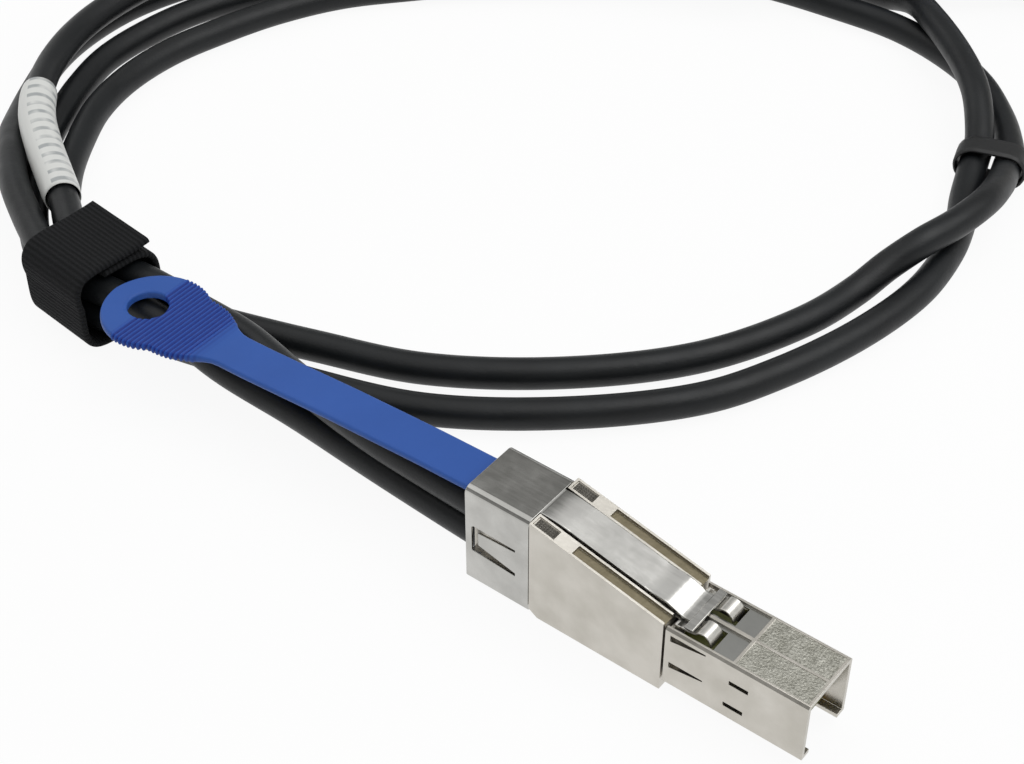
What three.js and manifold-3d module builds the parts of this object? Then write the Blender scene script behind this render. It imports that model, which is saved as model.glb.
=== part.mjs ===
// External high-density serial storage cable: two latching plugs with pull tabs, two round cables,
// a hook-and-loop strap, a tape band and a wrap-round label.
// Millimetres, Z up. The near plug points along +X and stands on z = 0; the origin is the middle
// of the flat underside of its backshell. Everything rests on the surface z = 0.
import * as THREE from 'three';
import Module from 'manifold-3d';
import { mergeVertices } from 'three/addons/utils/BufferGeometryUtils.js';

const wasm = await Module();
wasm.setup();

// Driving sizes.
const gap = 0.3;                  // clearance left between pieces that touch on the real plug
const sheet = 0.5;                // thickness of the stamped slider

const shellHalf = 6.8;            // half width of the die-cast backshell
const shellRear = -13.3;          // rear of the full-width part of the backshell
const shellFront = 13.6;          // front face of the backshell
const railRearZ = 21.8;           // height of the rails at their rear end
const railFrontZ = 15.9;          // height of the rails at their front end
const tongueRear = -26.5;         // rear end of the narrow part inside the collar
const tongueHalf = 5.7;
const tongueTop = 16.6;
const tongueFloor = 0.9;

const collarRear = -27;
const collarFront = shellRear - gap;
const collarHalf = 6.6;
const collarTop = 21.6;
const collarBottom = 0.1;
const collarBend = 1.4;           // outer radius of the collar's long top edges

const plateHalf = 3.5;            // half width of the sloping release plate
const travel = 2.5;               // how far the slider is pulled back

const noseRear = shellFront + gap;
const noseFront = 40.5;
const noseHalf = 6.55;
const noseBottom = 2.1;
const noseTop = 15.1;
const noseWall = 0.8;
const windowFront = 26.2;         // front end of the two latch windows

const boardHalf = 4.2;
const boardThick = 1.0;
const lowerBoardZ = 5.6;
const upperBoardZ = 11.2;
const padPitch = 0.75;
const padCount = 9;

const cableRadius = 3.15;
const cableSteps = 96;
const lowerCableZ = 4.7;
const upperCableZ = 11.5;
const bundleRadius = 2.3;
const bundleUpperZ = 10.6;        // the upper bundle drops to its board
const jacketEnd = -16.5;          // where the outer jacket stops inside the plug

const tabThick = 1.4;
const tabHalf = 4.35;
const headHalf = 10.2;
const headCentre = -105.6;
const fingerHole = 3.9;
const fingerHoleX = -107.6;

const farPlugX = -7.9;            // where the far plug's underside middle lies on the surface
const farPlugY = 244.4;
const farPlugAngle = 35;          // degrees, anticlockwise seen from above

// Small tools.
function toSolid(geometry) {
  const bare = geometry.clone();
  bare.deleteAttribute('normal');
  bare.deleteAttribute('uv');
  const merged = mergeVertices(bare, 1e-5);
  const mesh = new wasm.Mesh({
    numProp: 3,
    vertProperties: new Float32Array(merged.attributes.position.array),
    triVerts: new Uint32Array(merged.index.array),
  });
  mesh.merge();
  return new wasm.Manifold(mesh);
}

function box(x0, x1, y0, y1, z0, z1) {
  const g = new THREE.BoxGeometry(x1 - x0, y1 - y0, z1 - z0);
  g.translate((x0 + x1) / 2, (y0 + y1) / 2, (z0 + z1) / 2);
  return toSolid(g);
}

// A side-view outline of [x, z] corners, given thickness from y0 to y1.
function sideProfile(corners, y0, y1) {
  const shape = new THREE.Shape(corners.map(([x, z]) => new THREE.Vector2(x, z)));
  const g = new THREE.ExtrudeGeometry(shape, { depth: y1 - y0, bevelEnabled: false });
  g.rotateX(Math.PI / 2);
  g.translate(0, y1, 0);
  return toSolid(g);
}

// A plan outline of [x, y] corners, given height from z0 to z1.
function planProfile(corners, z0, z1, holes = []) {
  const shape = new THREE.Shape(corners.map(([x, y]) => new THREE.Vector2(x, y)));
  for (const hole of holes) {
    shape.holes.push(new THREE.Path(hole.map(([x, y]) => new THREE.Vector2(x, y))));
  }
  const g = new THREE.ExtrudeGeometry(shape, { depth: z1 - z0, bevelEnabled: false });
  g.translate(0, 0, z0);
  return toSolid(g);
}

// A front-view outline of [y, z] corners, given length from x0 to x1.
function endProfile(corners, x0, x1) {
  const shape = new THREE.Shape(corners.map(([y, z]) => new THREE.Vector2(y, z)));
  const g = new THREE.ExtrudeGeometry(shape, { depth: x1 - x0, bevelEnabled: false });
  g.rotateX(Math.PI / 2);
  g.rotateZ(Math.PI / 2);
  g.translate(x0, 0, 0);
  return toSolid(g);
}

function lengthwiseRod(radius, x0, x1, y, z, sides = 16) {
  const g = new THREE.CylinderGeometry(radius, radius, x1 - x0, sides);
  g.rotateZ(Math.PI / 2);
  g.translate((x0 + x1) / 2, y, z);
  return toSolid(g);
}

function uprightRod(radius, z0, z1, x, y, sides = 16) {
  const g = new THREE.CylinderGeometry(radius, radius, z1 - z0, sides);
  g.rotateX(Math.PI / 2);
  g.translate(x, y, (z0 + z1) / 2);
  return toSolid(g);
}

function circle(cx, cy, r, sides) {
  const points = [];
  for (let i = 0; i < sides; i += 1) {
    const a = (2 * Math.PI * i) / sides;
    points.push([cx + r * Math.cos(a), cy + r * Math.sin(a)]);
  }
  return points;
}

function lerpTable(table, x) {
  if (x >= table[0][0]) return table[0][1];
  for (let i = 1; i < table.length; i += 1) {
    const [x1, v1] = table[i];
    const [x0, v0] = table[i - 1];
    if (x >= x1) return v0 + ((v1 - v0) * (x - x0)) / (x1 - x0);
  }
  return table[table.length - 1][1];
}

const railZ = (x) => railRearZ + ((railFrontZ - railRearZ) * (x - shellRear)) / (shellFront - shellRear);

// Die-cast backshell.
const channelHalf = plateHalf + gap;
const channelRearZ = 18.2;
const channelFrontZ = 14.2;
const channelZ = (x) => channelRearZ
  + ((channelFrontZ - channelRearZ) * (x - shellRear)) / (shellFront - shellRear);
const cavityHalf = boardHalf + 0.4;
const cavityFloor = 1.6;
const cavityTop = 13.5;

function backshell() {
  const outline = [
    [shellRear, 1.2], [shellRear + 1.8, 0], [shellFront, 0],
    [shellFront, railFrontZ], [shellRear, railRearZ],
  ];
  let body = sideProfile(outline, -shellHalf, shellHalf);
  body = body.add(box(tongueRear, shellRear + 1, -tongueHalf, tongueHalf, tongueFloor, tongueTop));
  body = body.subtract(plateChannel());
  body = body.subtract(latchPocket());
  for (const side of [-1, 1]) {
    body = body.subtract(railRecess(side));
    body = body.subtract(springPocket(side));
  }
  body = body.subtract(box(-15.6, 8.5, -cavityHalf, cavityHalf, cavityFloor, cavityTop));
  body = body.subtract(box(8, shellFront + 1, -5.3, 5.3, 2.9, cavityTop + 0.1));
  body = body.subtract(box(-6.5, 1.5, -2.2, 2.2, cavityTop - 1, channelRearZ + 1));
  for (const z of [lowerCableZ, upperCableZ]) {
    body = body.subtract(lengthwiseRod(cableRadius + gap, tongueRear - 1, -15, 0, z, 20));
  }
  for (const x of rivetPlaces) {
    body = body.subtract(uprightRod(rivetRadius + 0.25, cavityTop + 0.6, channelRearZ + 2, x, 0, 12));
  }
  return body;
}

function plateChannel() {
  const corners = [
    [shellRear - 1, channelZ(shellRear - 1)], [shellFront + 1, channelZ(shellFront + 1)],
    [shellFront + 1, railRearZ + 2], [shellRear - 1, railRearZ + 2],
  ];
  return sideProfile(corners, -channelHalf, channelHalf);
}

function latchPocket() {
  return box(7.5, shellFront + 1, -channelHalf, channelHalf, 14.1, railRearZ);
}

// Long shallow recess and a rear pad on the top of each rail.
function railRecess(side) {
  const inner = Math.min(side * 4.25, side * 6.35);
  const outer = Math.max(side * 4.25, side * 6.35);
  const long = sideProfile([
    [-4.9, railZ(-4.9) - 0.6], [shellFront + 1, railZ(shellFront + 1) - 0.6],
    [shellFront + 1, railRearZ + 2], [-4.9, railRearZ + 2],
  ], inner, outer);
  const pad = sideProfile([
    [shellRear + 0.4, railZ(shellRear + 0.4) - 0.3], [-8.6, railZ(-8.6) - 0.3],
    [-8.6, railRearZ + 2], [shellRear + 0.4, railRearZ + 2],
  ], inner, outer);
  return long.add(pad);
}

// Room beside the tongue for the spring tabs bent in from the collar walls.
function springPocket(side) {
  const a = side * 4.7;
  const b = side * (tongueHalf + 1);
  return box(tongueRear - 1, -15.9, Math.min(a, b), Math.max(a, b), 6.4, 14.2);
}

// Lid in the channel and its rivets.
const lidRear = -11.5;
const lidFront = 6;
const lidThick = 0.7;
const rivetRadius = 0.7;
const rivetHead = 0.2;
const rivetPlaces = [-9, 3];

function lid() {
  const z = (x) => channelZ(x) + gap;
  let body = sideProfile([
    [lidRear, z(lidRear)], [lidFront, z(lidFront)],
    [lidFront, z(lidFront) + lidThick], [lidRear, z(lidRear) + lidThick],
  ], -plateHalf, plateHalf);
  for (const x of rivetPlaces) {
    body = body.subtract(uprightRod(rivetRadius + 0.25, cavityTop, channelRearZ + 3, x, 0, 12));
  }
  return body;
}

function rivet(x) {
  const top = channelZ(x) + gap + lidThick + 0.15;
  const shank = uprightRod(rivetRadius, cavityTop + 0.9, top + 0.1, x, 0, 12);
  return shank.add(uprightRod(1.4, top, top + rivetHead, x, 0, 12));
}

// Nose shroud.
function nose() {
  const bevel = 0.45;
  const h = noseHalf;
  const section = [
    [-h + 0.2, noseBottom], [h - 0.2, noseBottom], [h, noseBottom + 0.2], [h, noseTop - bevel],
    [h - bevel, noseTop], [-h + bevel, noseTop], [-h, noseTop - bevel], [-h, noseBottom + 0.2],
  ];
  let body = endProfile(section, noseRear, noseFront);
  body = body.add(box(9, noseRear + 1, -5, 5, 3.2, 13.3));
  body = body.subtract(box(noseRear + 2, noseFront + 1, -h + noseWall, h - noseWall,
    noseBottom + noseWall, noseTop - 0.9));
  body = body.subtract(box(8, noseRear + 3, -boardHalf - gap, boardHalf + gap, 3.7, 12.8));
  body = body.subtract(box(30.5, noseFront + 1, -4.3, 4.3, noseBottom - 1, noseBottom + 2));
  body = body.subtract(box(noseRear - 1, 15.9, -5.75, 5.75, latchBottom - 0.7, noseTop + 1));
  for (const side of [-1, 1]) {
    body = body.subtract(latchWindow(side));
    body = body.subtract(topPanel(side));
    body = body.subtract(sideSlots(side));
  }
  return body;
}

// Recessed window over each latch arm, with the opening the arm springs down into.
function latchWindow(side) {
  const span = (a, b) => [Math.min(side * a, side * b), Math.max(side * a, side * b)];
  const [r0, r1] = span(0.35, 5.75);
  const [o0, o1] = span(1.0, 5.4);
  return box(noseRear + 0.6, windowFront, r0, r1, noseTop - 0.5, noseTop + 1)
    .add(box(noseRear + 0.6, 22.2, o0, o1, noseTop - 2, noseTop + 1));
}

function topPanel(side) {
  const a = side * 0.25;
  const b = side * 5.75;
  const [y0, y1] = [Math.min(a, b), Math.max(a, b)];
  return box(windowFront + 0.6, noseFront - 0.5, y0, y1, noseTop - 0.15, noseTop + 1);
}

// Two tapering slots round a side spring tab, and two short straight slots ahead of them.
function sideSlots(side) {
  const a = side * (noseHalf - noseWall - 0.6);
  const b = side * (noseHalf + 1);
  const y0 = Math.min(a, b);
  const y1 = Math.max(a, b);
  const upper = sideProfile([[14.9, 12.5], [14.9, 13.9], [21.6, 13.9], [21.6, 13.6]], y0, y1);
  const lower = sideProfile([[14.9, 6.2], [14.9, 7.5], [21.4, 7.5], [21.4, 7.2]], y0, y1);
  const short = box(26.2, 29.8, y0, y1, 10.2, 11.1).add(box(25.5, 29.2, y0, y1, 4.6, 5.5));
  return upper.add(lower).add(short);
}

// Sliding collar with its release plate.
const plateTop = [
  [collarFront - 0.5, collarTop], [-10.2, collarTop], [8.5, 17.5],
  [11.9, 17.2], [15.0, 15.9], [18.0, 15.9],
];

function collarSection(inset) {
  const h = collarHalf - inset;
  const top = collarTop - inset;
  const bottom = collarBottom + inset;
  const r = collarBend - inset;
  const corners = [[-h, bottom], [h, bottom]];
  for (let i = 0; i <= 4; i += 1) {
    const a = (Math.PI / 2) * (i / 4);
    corners.push([h - r + r * Math.cos(a), top - r + r * Math.sin(a)]);
  }
  for (let i = 0; i <= 4; i += 1) {
    const a = Math.PI / 2 + (Math.PI / 2) * (i / 4);
    corners.push([-h + r + r * Math.cos(a), top - r + r * Math.sin(a)]);
  }
  return corners;
}

function slider() {
  let body = endProfile(collarSection(0), collarRear, collarFront);
  body = body.subtract(endProfile(collarSection(sheet), collarRear - 1, collarFront + 1));
  for (const side of [-1, 1]) {
    body = body.subtract(springCut(side));
    body = body.add(springTab(side));
  }
  body = body.add(releasePlate());
  body = body.add(box(-22.6, -21.6, -2, 2, 17.5, collarTop - 0.1));
  return body;
}

function releasePlate() {
  const upper = plateTop;
  const lower = plateTop.map(([x, z]) => [x, z - sheet]).reverse();
  const strip = sideProfile([...upper, ...lower], -plateHalf, plateHalf);
  const foot = box(shellFront + travel + gap, 18.0, -5.1, 5.1, 15.9 - sheet, 15.9);
  return strip.add(foot);
}

// U-shaped cut in the collar wall.
function springCut(side) {
  const a = side * (collarHalf - sheet - 0.4);
  const b = side * (collarHalf + 1);
  const corners = [[-25.7, 7.4], [-16.4, 7.4], [-16.4, 13.2], [-25.7, 13.4]];
  return sideProfile(corners, Math.min(a, b), Math.max(a, b));
}

// The tongue left in the cut, bent in towards the rear.
function springTab(side) {
  const out = side * collarHalf;
  const bend = side * 0.75;
  const t = side * sheet;
  const corners = [
    [-16.2, out], [-18.5, out], [-24.9, out - bend],
    [-24.9, out - bend - t], [-18.5, out - t], [-16.2, out - t],
  ];
  const ordered = side > 0 ? corners : corners.slice().reverse();
  const blade = planProfile(ordered, 7.7, 13.0);
  const keep = sideProfile([[-25, 8.9], [-16.1, 7.8], [-16.1, 12.9], [-25, 13.0]],
    Math.min(0, side * 8), Math.max(0, side * 8));
  return blade.intersect(keep);
}

// Latch spring with two hooks.
const latchPivotX = 9.5;
const latchBottom = 14.7;

function latch() {
  const t = 0.4;
  let body = box(8.6, 15.0, -plateHalf + 0.1, plateHalf - 0.1, latchBottom, latchBottom + t);
  body = body.add(box(14.6, 15.6, -5.0, 5.0, latchBottom, latchBottom + t));
  for (const side of [-1, 1]) {
    const upper = [
      [15.0, latchBottom + t], [18.2, latchBottom + t], [18.9, 15.75],
      [19.8, 15.95], [20.9, 15.5], [21.6, 14.4],
    ];
    const lower = [
      [21.2, 14.2], [20.6, 15.1], [19.8, 15.5],
      [19.2, 15.35], [18.6, latchBottom], [15.0, latchBottom],
    ];
    const a = side * 1.5;
    const b = side * 4.9;
    body = body.add(sideProfile([...upper, ...lower], Math.min(a, b), Math.max(a, b)));
  }
  return body;
}

// Boards, spacer, organiser and wire bundles.
function board(z) {
  let body = box(-0.5, 37.5, -boardHalf, boardHalf, z - boardThick / 2, z + boardThick / 2);
  for (let i = 0; i < padCount; i += 1) {
    const y = (i - (padCount - 1) / 2) * padPitch;
    const half = boardThick / 2 + 0.08;
    body = body.add(box(32.6, 37.0, y - 0.23, y + 0.23, z - half, z + half));
  }
  return body;
}

function boardSpacer() {
  const z0 = lowerBoardZ + boardThick / 2 + gap;
  const z1 = upperBoardZ - boardThick / 2 - gap;
  return box(0, 29, -boardHalf, boardHalf, z0, z1)
    .subtract(box(4, 25, -2.4, 2.4, z0 - 1, z0 + 1.4))
    .subtract(box(4, 25, -2.4, 2.4, z1 - 1.4, z1 + 1));
}

function wireOrganiser() {
  let body = box(-4.7, -0.8, -boardHalf, boardHalf, cavityFloor + gap, cavityTop - gap);
  for (const z of [lowerBoardZ, upperBoardZ]) {
    for (let i = 0; i < 4; i += 1) {
      const y = (i - 1.5) * 1.9;
      body = body.subtract(box(-1.9, -0.5, y - 0.55, y + 0.55, z - 0.55, z + 0.55));
    }
  }
  return body;
}

function wireBundle(z) {
  return lengthwiseRod(bundleRadius, jacketEnd + gap, -5, 0, z, 16);
}

function bundleClamp() {
  let body = box(-13.6, -10.6, -3.4, 3.4, cavityFloor + gap, cavityTop - gap);
  for (const z of [lowerCableZ, bundleUpperZ]) {
    body = body.subtract(lengthwiseRod(bundleRadius + gap, -14, -10, 0, z, 16));
  }
  return body;
}

// Pull tab.
const tabRise = [
  [-19, 18.7], [-27, 18.7], [-40, 18.2], [-60, 17.2], [-80, 16.0], [-95, 15.6], [-117, 15.6],
];
const tabSway = [[-19, 0], [-40, 0], [-60, -0.2], [-85, -0.7], [-117, -1.5]];
const ridgeCount = 17;
const ridgePitch = 0.95;
const ridgeStart = -91.3;         // the ridge nearest the strip; the last lies beside the hole
const ridgeHeight = 0.22;

function tabOutline() {
  const near = [-19, -27, -40, -50, -60, -70, -80, -86].map((x) => [x, tabHalf]);
  near.push([-89, tabHalf + 0.6], [-92, 6.2], [-95, 8.2]);
  const head = [];
  for (let i = 0; i <= 16; i += 1) {
    const a = (Math.PI / 180) * (55 + (i * 250) / 16);
    head.push([headCentre + headHalf * 1.02 * Math.cos(a), headHalf * Math.sin(a)]);
  }
  const upper = [...near, ...head.slice(0, 9)];
  const lower = upper.slice(0, -1).map(([x, y]) => [x, -y]).reverse();
  return [...upper, ...lower];
}

function halfWidthAt(x) {
  const table = [[-86, tabHalf], [-89, tabHalf + 0.6], [-92, 6.2], [-95, 8.2]];
  if (x > -99.5) return Math.min(lerpTable(table, x), 9.2);
  return headHalf * Math.sqrt(Math.max(0, 1 - ((x - headCentre) / (headHalf * 1.02)) ** 2));
}

function pullTab() {
  const half = tabThick / 2;
  const full = half + ridgeHeight;
  const hole = circle(fingerHoleX, 0, fingerHole, 20);
  let body = planProfile(tabOutline(), -half, half, [hole]);
  for (let i = 0; i < ridgeCount; i += 1) {
    const x = ridgeStart - i * ridgePitch;
    const w = halfWidthAt(x) + 0.2;
    body = body.add(box(x - 0.25, x + 0.25, -w, w, -full, full));
  }
  const smoothFrom = ridgeStart - (ridgeCount - 0.5) * ridgePitch;
  const smoothHead = planProfile(tabOutline(), -full, full)
    .intersect(box(headCentre - 2 * headHalf, smoothFrom, -headHalf, headHalf, -full, full));
  body = body.add(smoothHead);
  body = body.subtract(uprightRod(fingerHole, -full - 1, full + 1, fingerHoleX, 0, 20));
  body = body.subtract(box(-23.0, -21.2, -2.4, 2.4, -2, 2));
  return body;
}

function drapeTab(geometry) {
  const p = geometry.attributes.position;
  for (let i = 0; i < p.count; i += 1) {
    const x = p.getX(i);
    p.setY(i, p.getY(i) + lerpTable(tabSway, x));
    p.setZ(i, p.getZ(i) + lerpTable(tabRise, x));
  }
  return geometry;
}

// Cables.
const upperCableRoute = [
  [jacketEnd, 0, upperCableZ], [-27, 0, upperCableZ], [-40, 0.5, 11.4], [-55, 1.5, 11.2], [-75, 4.5, 10.9],
  [-92, 8.2, 10.2], [-105, 8.5, 10.4], [-119, 7.6, 11.5], [-131, 6.2, 11.8], [-141, 9.9, 11.6],
  [-149.6, 15.5, 11.2], [-159.3, 21.4, 10.7], [-168.5, 27, 10.6], [-178, 33.7, 10.6], [-186, 42, 10.3],
  [-192.4, 51, 9.6], [-197.5, 63, 9.4], [-199.5, 76, 9.6], [-198.5, 92, 9.8], [-193, 109, 9.9],
  [-184, 127, 9.9], [-171, 147, 9.6], [-155, 167.5, 8], [-135, 182, 5], [-112, 192, 3.3],
  [-90, 199, 3.15], [-76, 201, 3.15], [-65, 199.8, 3.5], [-54, 196, 7.4], [-44, 187.6, 9.9],
  [-31, 176.8, 9.9], [-22.5, 167.4, 9.7],
  [-17, 159.5, 7.3], [-14.3, 154.4, 5.6], [-13.2, 151, 5], [-12.1, 147.6, 4.4], [-9.3, 139.5, 3.4],
  [-5.3, 130, 3.15], [-2.8, 120.3, 3.15], [-1.6, 106.3, 3.15], [-4.2, 88.3, 3.15], [-10.6, 68.5, 3.15],
  [-18.6, 53, 3.15], [-37, 33.7, 3.15], [-58.1, 18.9, 3.15], [-78.4, 11.6, 3.15], [-92.1, 8.3, 3.15],
  [-105, 4.2, 3.7], [-119, 0.6, 5.1], [-131, -0.4, 5.15], [-137.5, 1.1, 5.15],
  [-145, 4.6, 4.2], [-154, 10, 3.3],
  [-163, 17.5, 3.15], [-171, 26, 3.15], [-178, 35, 3.15], [-183.5, 44.5, 3.15], [-188, 54, 3.15],
  [-191.8, 66, 3.15], [-192.2, 80.3, 3.15], [-189.8, 94.6, 3.15], [-183, 110.5, 3.15], [-172, 127, 3.15],
  [-157, 143, 3.3], [-141, 157, 5.5], [-124, 169.5, 9.2], [-109, 179.5, 9.9], [-96, 188.5, 9.9],
];

const lowerCableRoute = [
  [jacketEnd, 0, lowerCableZ], [-27, 0, lowerCableZ], [-40, 0.5, 4.8], [-55, 1.5, 4.6], [-75, 3, 4.4],
  [-92, 1.7, 7.0], [-105, 1.6, 10.0], [-119, 0.9, 11.4], [-131, -0.5, 11.8], [-137.5, 1.0, 11.7],
  [-145, 4.1, 11.2], [-154.2, 8.9, 10.4], [-164.4, 14.9, 9.6], [-173.6, 22, 8.2], [-182, 29.3, 6],
  [-189, 37.8, 4], [-195.5, 48, 3.2], [-200.5, 58, 3.15], [-203.5, 70, 3.15], [-204, 84, 3.15],
  [-201, 98, 3.15], [-194, 113.5, 3.15], [-184, 128, 3.15], [-170, 144, 3.15], [-152, 160, 3.15],
  [-132, 173, 3.15], [-110, 182, 3.15], [-88.3, 187.1, 3.15], [-71.9, 189, 3.15], [-53.7, 189.6, 3.15],
  [-38.5, 186, 3.15], [-27.2, 180.2, 3.15], [-17, 170.5, 3.4], [-11, 162.3, 4.2], [-7.6, 156.3, 4.7],
  [-6.6, 153.1, 5], [-5.6, 149.9, 5.4], [-3.3, 142, 7.6], [-1.9, 132.1, 9.8], [-3.1, 122, 9.9],
  [-5.8, 113.5, 9.1], [-9.2, 106.5, 6], [-11.6, 98.5, 3.4], [-14.9, 84.4, 3.15], [-25.2, 62.9, 3.15],
  [-43.7, 42.8, 3.15], [-65.4, 27.7, 3.15], [-85.6, 20.2, 3.15], [-101.1, 15.2, 3.15], [-112, 10.4, 4.7],
  [-121, 7.4, 5.25], [-131, 6.5, 5.15], [-141, 10.2, 5.1], [-149.6, 15.6, 3.9], [-158, 22, 3.2],
  [-165.5, 29.8, 3.15], [-172.5, 39.8, 3.15], [-178.6, 51, 3.15], [-181.8, 63, 3.15], [-182.1, 76.8, 3.15],
  [-179.2, 91, 3.15], [-174.7, 105.3, 3.15], [-167, 120.2, 3.15], [-153.4, 136, 3.3], [-137, 150.3, 5.5],
  [-120.2, 163.2, 9.2], [-105, 173.6, 9.9], [-92.2, 182.8, 9.9],
];

// Last stretch of a cable, given as [distance behind the far collar, side offset, height].
function farStretch(rows) {
  const a = (farPlugAngle * Math.PI) / 180;
  return rows.map(([back, side, z]) => {
    const along = collarRear - back;
    return [
      farPlugX + along * Math.cos(a) - side * Math.sin(a),
      farPlugY + along * Math.sin(a) + side * Math.cos(a),
      z,
    ];
  });
}

const upperFarEnd = farStretch([
  [62, 3.5, 9.9], [46, 3.5, 9.9], [30, 3.3, 10.8], [15, 1.2, 11.4],
  [0, 0, upperCableZ], [collarRear - jacketEnd, 0, upperCableZ],
]);
const lowerFarEnd = farStretch([
  [62, -3.5, 10.6], [46, -3.5, 11.3], [30, -3.5, 7.9], [15, -1.2, 4.9],
  [0, 0, lowerCableZ], [collarRear - jacketEnd, 0, lowerCableZ],
]);

function curveThrough(points) {
  return new THREE.CatmullRomCurve3(points.map((p) => new THREE.Vector3(...p)), false, 'centripetal');
}

const upperCurve = curveThrough([...upperCableRoute, ...upperFarEnd]);
const lowerCurve = curveThrough([...lowerCableRoute, ...lowerFarEnd]);

function roundSection(radius, sides) {
  const points = circle(0, 0, radius, sides).map(([x, y]) => new THREE.Vector2(x, y));
  return new THREE.Shape(points);
}

function tubeAlong(curve, radius, sides, steps) {
  return new THREE.ExtrudeGeometry(roundSection(radius, sides), {
    steps, bevelEnabled: false, extrudePath: curve,
  });
}

// Label, strap and tape.
// A curve along the stretch of another one between two shares of its length.
function stretchOf(curve, from, to, count) {
  const points = [];
  for (let i = 0; i <= count; i += 1) {
    points.push(curve.getPointAt(from + ((to - from) * i) / count));
  }
  return new THREE.CatmullRomCurve3(points, false, 'centripetal');
}

function nearestShare(curve, place) {
  const target = new THREE.Vector3(...place);
  let best = 0;
  let bestDistance = Infinity;
  for (let i = 0; i <= 2000; i += 1) {
    const d = curve.getPointAt(i / 2000).distanceTo(target);
    if (d < bestDistance) {
      bestDistance = d;
      best = i / 2000;
    }
  }
  return best;
}

const labelFrom = [-150.6, 16, 10.4];
const labelTo = [-185, 41, 9.8];
const labelInside = 0.5;          // slack between the label and the jacket
const labelOutside = 0.85;

function wrapLabel() {
  const from = nearestShare(upperCurve, labelFrom);
  const to = nearestShare(upperCurve, labelTo);
  const lead = (to - from) * 0.06;
  const outer = toSolid(tubeAlong(stretchOf(upperCurve, from, to, 12), cableRadius + labelOutside, 12, 12));
  const longer = stretchOf(upperCurve, from - lead, to + lead, 14);
  return outer.subtract(toSolid(tubeAlong(longer, cableRadius + labelInside, 12, 14)));
}

const strapCentre = [-129, 3.9, 8.45];
const strapHeading = 174;         // degrees: the way the cables run through the strap
const strapWidth = 18;
const strapThick = 1.3;
const strapHalfWide = 9.2;
const strapHalfHigh = 7.9;
const strapLap = strapThick + 0.45;
const flapLength = 8;

// Centre line of the strap: a rounded box that widens where the end lies over the start, then a
// straight flap that leaves the top and rises a little.
function strapLine() {
  const first = 0.2;
  const last = 1.25;
  const count = 44;
  const points = [];
  for (let i = 0; i <= count; i += 1) {
    const turn = first + ((last - first) * i) / count;
    const extra = Math.min(Math.max(turn - 1.05, 0) * 18, strapLap);
    const c = Math.cos(turn * 2 * Math.PI);
    const s = Math.sin(turn * 2 * Math.PI);
    const k = (c ** 4 + s ** 4) ** (-1 / 4);
    points.push([(strapHalfWide + extra) * k * c, (strapHalfHigh + extra) * k * s]);
  }
  const [x0, y0] = points[points.length - 1];
  for (let i = 1; i <= 4; i += 1) {
    const along = (flapLength * i) / 4;
    points.push([x0 - along, y0 + (0.5 * along) / flapLength]);
  }
  return points;
}

function strap() {
  const line = strapLine();
  const inside = [];
  const outside = [];
  line.forEach(([x, y], i) => {
    const [xa, ya] = line[Math.max(i - 1, 0)];
    const [xb, yb] = line[Math.min(i + 1, line.length - 1)];
    const length = Math.hypot(xb - xa, yb - ya);
    const nx = ((yb - ya) / length) * (strapThick / 2);
    const ny = (-(xb - xa) / length) * (strapThick / 2);
    outside.push(new THREE.Vector2(x + nx, y + ny));
    inside.push(new THREE.Vector2(x - nx, y - ny));
  });
  const shape = new THREE.Shape([...outside, ...inside.reverse()]);
  const g = new THREE.ExtrudeGeometry(shape, { depth: strapWidth, bevelEnabled: false });
  g.translate(0, 0, -strapWidth / 2);
  return placeAcross(g, strapCentre, strapHeading);
}

// Turns a shape drawn across the run of a cable so that its depth lies along that run.
function placeAcross(geometry, centre, headingDegrees) {
  const a = (headingDegrees * Math.PI) / 180;
  const along = new THREE.Vector3(Math.cos(a), Math.sin(a), 0);
  const up = new THREE.Vector3(0, 0, 1);
  const across = new THREE.Vector3().crossVectors(up, along);
  const m = new THREE.Matrix4().makeBasis(across, up, along);
  if (m.determinant() < 0) m.makeBasis(across.negate(), up, along);
  m.setPosition(...centre);
  geometry.applyMatrix4(m);
  return toSolid(geometry);
}

function stadium(halfApart, radius) {
  const points = [];
  for (let i = 0; i <= 10; i += 1) {
    const a = -Math.PI / 2 + (Math.PI * i) / 10;
    points.push(new THREE.Vector2(halfApart + radius * Math.cos(a), radius * Math.sin(a)));
  }
  for (let i = 0; i <= 10; i += 1) {
    const a = Math.PI / 2 + (Math.PI * i) / 10;
    points.push(new THREE.Vector2(-halfApart + radius * Math.cos(a), radius * Math.sin(a)));
  }
  return points;
}

const tapeCentre = [-9.9, 152.0, 5.0];
const tapeHeading = -72.5;
const tapeWidth = 6;
const tapeApart = 3.45;           // half the distance between the two cables it holds
const tapeInside = 0.6;           // slack between the tape and the jackets
const tapeOutside = 1.2;

function tapeBand() {
  const shape = new THREE.Shape(stadium(tapeApart, cableRadius + tapeOutside));
  shape.holes.push(new THREE.Path(stadium(tapeApart, cableRadius + tapeInside)));
  const g = new THREE.ExtrudeGeometry(shape, { depth: tapeWidth, bevelEnabled: false });
  g.translate(0, 0, -tapeWidth / 2);
  return placeAcross(g, tapeCentre, tapeHeading);
}

// Assembly.
function toGeometry(solid) {
  const mesh = solid.getMesh();
  const g = new THREE.BufferGeometry();
  const flat = new Float32Array(mesh.numVert * 3);
  for (let i = 0; i < mesh.numVert; i += 1) {
    for (let k = 0; k < 3; k += 1) flat[i * 3 + k] = mesh.vertProperties[i * mesh.numProp + k];
  }
  g.setAttribute('position', new THREE.BufferAttribute(flat, 3));
  g.setIndex(new THREE.BufferAttribute(new Uint32Array(mesh.triVerts), 1));
  return g;
}

const part = new THREE.Group();
part.name = 'storage_cable';

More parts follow.
